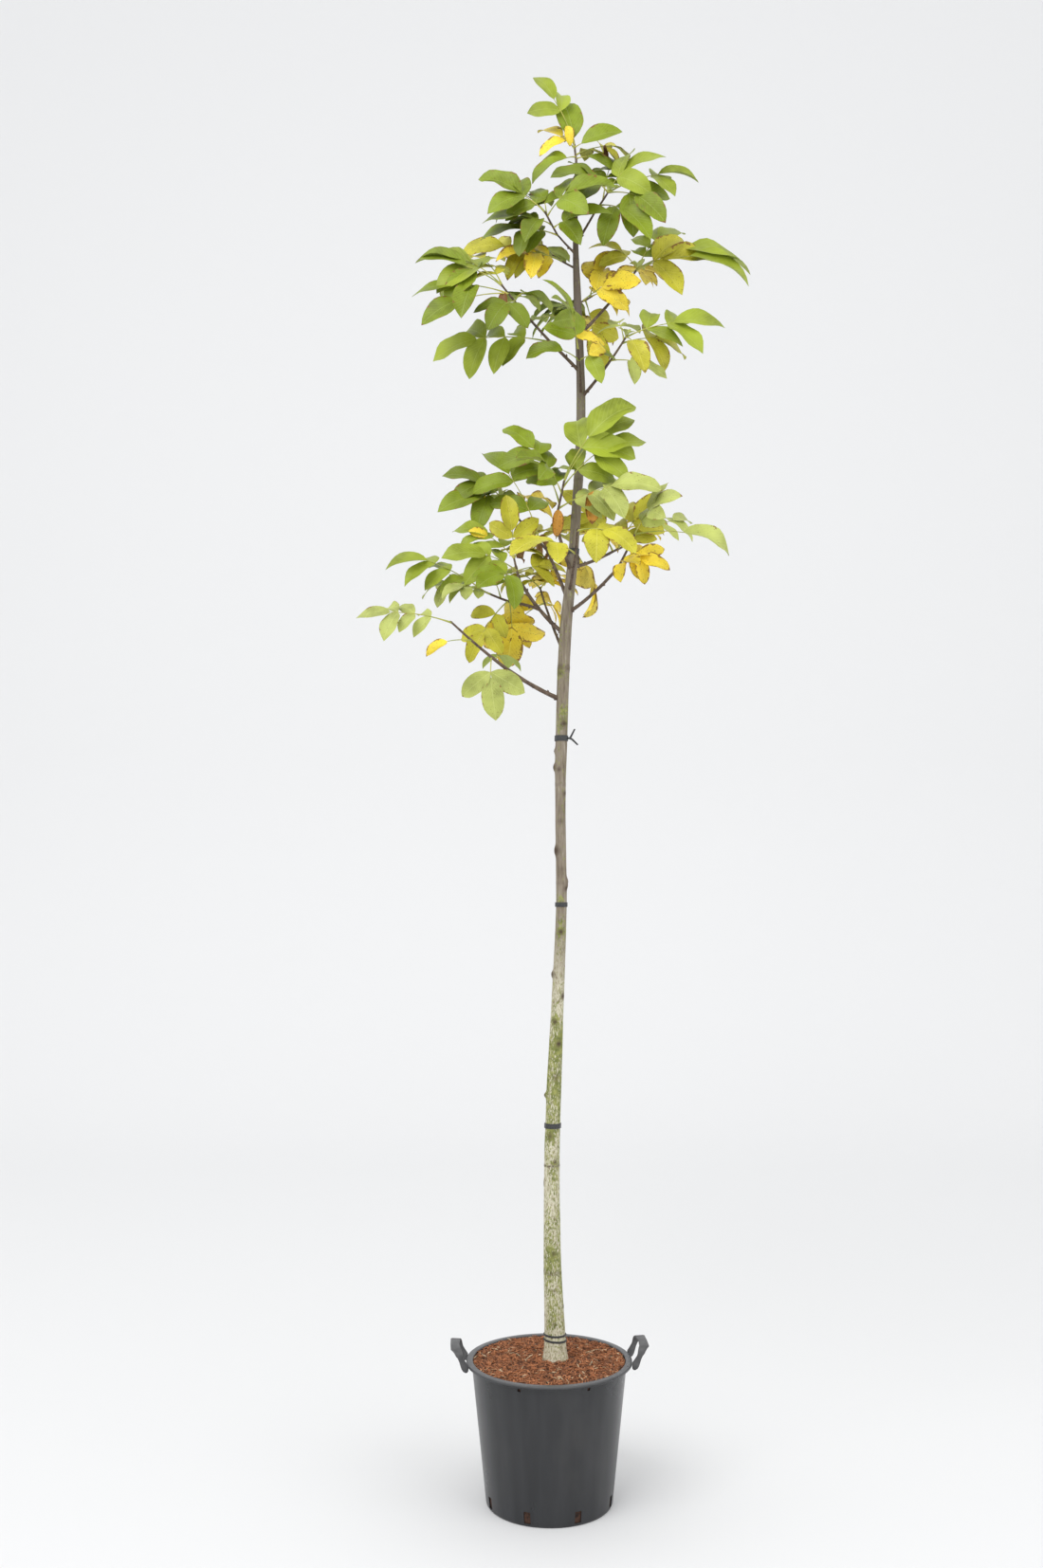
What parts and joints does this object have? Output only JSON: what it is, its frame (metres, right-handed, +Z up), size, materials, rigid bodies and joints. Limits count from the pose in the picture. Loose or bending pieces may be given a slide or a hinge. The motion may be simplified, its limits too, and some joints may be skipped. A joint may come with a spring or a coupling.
{
  "type": "potted walnut tree",
  "caption": "Young common walnut tree with a slender leaning trunk and an open tiered crown of feathered leaves, growing in a round nursery pot with two loop handles.",
  "frame": {"origin": "centre of the pot's flat underside, on the ground", "axes": "+Z up along the plant, +X to the right of the picture, +Y away from the camera"},
  "size_m": [1.0588, 0.7127, 3.7374],
  "materials": {
    "pot_plastic": "satin, dark charcoal, moulded",
    "soil_bark": "coarse red-brown bark and coir mulch, matt",
    "bark": "smooth young bark, grey-brown above and pale with green algae below",
    "bough_bark": "smooth dark brown young bark",
    "tie_rubber": "matt black tying band",
    "leaf_green": "smooth green leaves with paler undersides",
    "leaf_yellow": "leaves turning yellow, with brown spots"
  },
  "bodies": {
    "root": {"bough_back_low": "bough_bark", "bough_back_up": "bough_bark", "bough_centre_left": "bough_bark", "bough_front_low": "bough_bark", "bough_front_up": "bough_bark", "bough_leader_left": "bough_bark", "bough_leader_right": "bough_bark", "bough_left": "bough_bark", "bough_left_high": "bough_bark", "bough_left_side": "bough_bark", "bough_left_thin": "bough_bark", "bough_low_left": "bough_bark", "bough_right": "bough_bark", "bough_right_high": "bough_bark", "bough_top_right": "bough_bark", "bough_up_left": "bough_bark", "bough_up_right": "bough_bark", "handle_left": "pot_plastic", "handle_right": "pot_plastic", "leaves_back_low": "leaf_yellow", "leaves_back_up": "leaf_green", "leaves_centre_left": "leaf_green", "leaves_front_low": "leaf_green", "leaves_front_up": "leaf_green", "leaves_leader": "leaf_green", "leaves_leader_left": "leaf_green", "leaves_leader_right": "leaf_green", "leaves_left": "leaf_green", "leaves_left_high": "leaf_green", "leaves_left_side": "leaf_green", "leaves_left_thin": "leaf_yellow", "leaves_low_left": "leaf_green", "leaves_right": "leaf_yellow", "leaves_right_high": "leaf_green", "leaves_top_right": "leaf_green", "leaves_up_left": "leaf_green", "leaves_up_right": "leaf_green", "leaves_upper_back": "leaf_green", "leaves_yellow_right": "leaf_yellow", "pot": "pot_plastic", "soil": "soil_bark", "tape_crown": "tie_rubber", "tie_foot_high": "tie_rubber", "tie_foot_low": "tie_rubber", "tie_high": "tie_rubber", "tie_low": "tie_rubber", "tie_middle": "tie_rubber", "trunk": "bark"}
  },
  "joints": []
}
